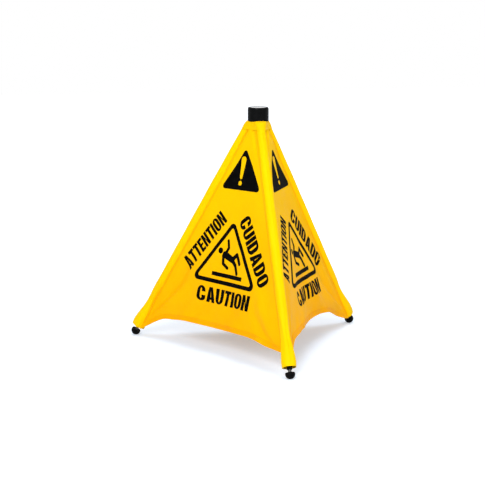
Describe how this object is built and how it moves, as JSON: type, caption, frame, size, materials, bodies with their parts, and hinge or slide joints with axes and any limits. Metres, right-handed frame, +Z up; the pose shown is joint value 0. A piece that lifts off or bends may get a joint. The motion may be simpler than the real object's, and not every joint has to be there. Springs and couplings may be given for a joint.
{
  "type": "pop-up safety cone",
  "caption": "Three-sided pop-up fabric floor safety cone with a round cap, sprung folding legs in sleeves and ball feet.",
  "frame": {"origin": "on the floor, on the cone's axis, midway between the three feet", "axes": "+Z up along the cone's axis to the cap; leg 1 points to -Y, legs 2 and 3 are at 120 degrees to it"},
  "size_m": [0.509, 0.4434, 0.508],
  "materials": {
    "cover_fabric": "coated yellow fabric with a slight sheen",
    "cap_plastic": "black moulded plastic, satin",
    "disc_plastic": "pale smooth plastic",
    "hub_plastic": "dark grey glass-filled plastic",
    "foot_rubber": "black rubber",
    "rod_fibre": "dark glass-fibre rod",
    "steel": "zinc-plated steel",
    "black_print": "black screen print on the fabric",
    "thread": "yellow sewing thread"
  },
  "bodies": {
    "hub": {"top_cap": "cap_plastic", "cap_disc": "disc_plastic", "cap_screws": "steel", "hub_body": "hub_plastic", "guide_rod": "steel", "return_spring": "steel", "hinge_pin_1": "steel", "hinge_pin_2": "steel", "hinge_pin_3": "steel", "cover_tabs": "cover_fabric", "cover_clips": "cap_plastic", "cover_screws": "steel"},
    "plunger": {"plunger": "steel"},
    "leg_1": {"knuckle_1": "hub_plastic", "rod_1": "rod_fibre", "rod_rivet_1": "steel", "foot_1": "foot_rubber", "leg_collar_1": "cap_plastic", "sleeve_1": "cover_fabric"},
    "leg_2": {"knuckle_2": "hub_plastic", "rod_2": "rod_fibre", "rod_rivet_2": "steel", "foot_2": "foot_rubber", "leg_collar_2": "cap_plastic", "sleeve_2": "cover_fabric"},
    "leg_3": {"knuckle_3": "hub_plastic", "rod_3": "rod_fibre", "rod_rivet_3": "steel", "foot_3": "foot_rubber", "leg_collar_3": "cap_plastic", "sleeve_3": "cover_fabric"},
    "cloth_1_1": {"panel_1_strip_1": "cover_fabric"},
    "cloth_1_2": {"panel_1_strip_2": "cover_fabric"},
    "cloth_1_3": {"panel_1_strip_3": "cover_fabric"},
    "cloth_1_4": {"panel_1_strip_4": "cover_fabric"},
    "cloth_2_1": {"panel_2_strip_1": "cover_fabric"},
    "cloth_2_2": {"panel_2_strip_2": "cover_fabric"},
    "cloth_2_3": {"panel_2_strip_3": "cover_fabric"},
    "cloth_2_4": {"panel_2_strip_4": "cover_fabric"},
    "cloth_3_1": {"panel_3_strip_1": "cover_fabric"},
    "cloth_3_2": {"panel_3_strip_2": "cover_fabric"},
    "cloth_3_3": {"panel_3_strip_3": "cover_fabric"},
    "cloth_3_4": {"panel_3_strip_4": "cover_fabric"}
  },
  "joints": [
    {"name": "fold", "type": "hinge", "parent": "hub", "child": "leg_1", "pos_m": [0, -0.0135, 0.48417], "axis": [1, 0, 0], "range_deg": [0, 28.5], "stiffness_Nm_per_rad": 0.6, "springref_deg": -20.05},
    {"name": "leg_2_hinge", "type": "hinge", "parent": "hub", "child": "leg_2", "pos_m": [0.01169, 0.00675, 0.48417], "axis": [-0.5, 0.866, 0], "range_deg": [-0.05, 28.55]},
    {"name": "leg_3_hinge", "type": "hinge", "parent": "hub", "child": "leg_3", "pos_m": [-0.01169, 0.00675, 0.48417], "axis": [-0.5, -0.866, 0], "range_deg": [-0.05, 28.55]},
    {"name": "plunger_slide", "type": "slide", "parent": "hub", "child": "plunger", "axis": [0, 0, 1], "range_m": [-0.00002, 0.00445], "deforming": ["return_spring"]},
    {"name": "panel_1_seam_1", "type": "hinge", "parent": "leg_1", "child": "cloth_1_1", "pos_m": [0, -0.12321, 0.29047], "axis": [0, -0.4928, -0.8701], "range_deg": [-0.1, 119.59], "deforming": ["panel_1_strip_1"]},
    {"name": "panel_1_seam_2", "type": "hinge", "parent": "cloth_1_1", "child": "cloth_1_2", "pos_m": [0.03023, -0.08059, 0.27328], "axis": [0.1209, -0.3223, -0.9389], "range_deg": [-166.54, 0.1], "deforming": ["panel_1_strip_2"]},
    {"name": "panel_1_seam_4", "type": "hinge", "parent": "leg_2", "child": "cloth_1_4", "pos_m": [0.1067, 0.06161, 0.29047], "axis": [0.4268, 0.2464, -0.8701], "range_deg": [-119.59, 0.1], "deforming": ["panel_1_strip_4"]},
    {"name": "panel_1_seam_3", "type": "hinge", "parent": "cloth_1_4", "child": "cloth_1_3", "pos_m": [0.08491, 0.01411, 0.27328], "axis": [0.3396, 0.0565, -0.9389], "range_deg": [-0.1, 166.54], "deforming": ["panel_1_strip_3"]},
    {"name": "panel_2_seam_1", "type": "hinge", "parent": "leg_2", "child": "cloth_2_1", "pos_m": [0.1067, 0.06161, 0.29047], "axis": [0.4268, 0.2464, -0.8701], "range_deg": [-0.1, 119.59], "deforming": ["panel_2_strip_1"]},
    {"name": "panel_2_seam_2", "type": "hinge", "parent": "cloth_2_1", "child": "cloth_2_2", "pos_m": [0.05468, 0.06647, 0.27328], "axis": [0.2187, 0.2659, -0.9389], "range_deg": [-166.54, 0.1], "deforming": ["panel_2_strip_2"]},
    {"name": "panel_2_seam_4", "type": "hinge", "parent": "leg_3", "child": "cloth_2_4", "pos_m": [-0.1067, 0.06161, 0.29047], "axis": [-0.4268, 0.2464, -0.8701], "range_deg": [-119.59, 0.1], "deforming": ["panel_2_strip_4"]},
    {"name": "panel_2_seam_3", "type": "hinge", "parent": "cloth_2_4", "child": "cloth_2_3", "pos_m": [-0.05468, 0.06647, 0.27328], "axis": [-0.2187, 0.2659, -0.9389], "range_deg": [-0.1, 166.54], "deforming": ["panel_2_strip_3"]},
    {"name": "panel_3_seam_1", "type": "hinge", "parent": "leg_3", "child": "cloth_3_1", "pos_m": [-0.1067, 0.06161, 0.29047], "axis": [-0.4268, 0.2464, -0.8701], "range_deg": [-0.1, 119.59], "deforming": ["panel_3_strip_1"]},
    {"name": "panel_3_seam_2", "type": "hinge", "parent": "cloth_3_1", "child": "cloth_3_2", "pos_m": [-0.08491, 0.01411, 0.27328], "axis": [-0.3396, 0.0565, -0.9389], "range_deg": [-166.54, 0.1], "deforming": ["panel_3_strip_2"]},
    {"name": "panel_3_seam_4", "type": "hinge", "parent": "leg_1", "child": "cloth_3_4", "pos_m": [0, -0.12321, 0.29047], "axis": [0, -0.4928, -0.8701], "range_deg": [-119.59, 0.1], "deforming": ["panel_3_strip_4"]},
    {"name": "panel_3_seam_3", "type": "hinge", "parent": "cloth_3_4", "child": "cloth_3_3", "pos_m": [-0.03023, -0.08059, 0.27328], "axis": [-0.1209, -0.3223, -0.9389], "range_deg": [-0.1, 166.54], "deforming": ["panel_3_strip_3"]}
  ],
  "couplings": [
    {"joint": "leg_2_hinge", "follows": "fold", "ratio": 1},
    {"joint": "leg_3_hinge", "follows": "fold", "ratio": 1},
    {"joint": "plunger_slide", "follows": "fold", "m_per_rad": 0.0089075},
    {"joint": "panel_1_seam_1", "follows": "fold", "ratio": 4.1927},
    {"joint": "panel_1_seam_2", "follows": "fold", "ratio": -5.8399},
    {"joint": "panel_1_seam_4", "follows": "fold", "ratio": -4.1927},
    {"joint": "panel_1_seam_3", "follows": "fold", "ratio": 5.8399},
    {"joint": "panel_2_seam_1", "follows": "fold", "ratio": 4.1927},
    {"joint": "panel_2_seam_2", "follows": "fold", "ratio": -5.8399},
    {"joint": "panel_2_seam_4", "follows": "fold", "ratio": -4.1927},
    {"joint": "panel_2_seam_3", "follows": "fold", "ratio": 5.8399},
    {"joint": "panel_3_seam_1", "follows": "fold", "ratio": 4.1927},
    {"joint": "panel_3_seam_2", "follows": "fold", "ratio": -5.8399},
    {"joint": "panel_3_seam_4", "follows": "fold", "ratio": -4.1927},
    {"joint": "panel_3_seam_3", "follows": "fold", "ratio": 5.8399}
  ]
}
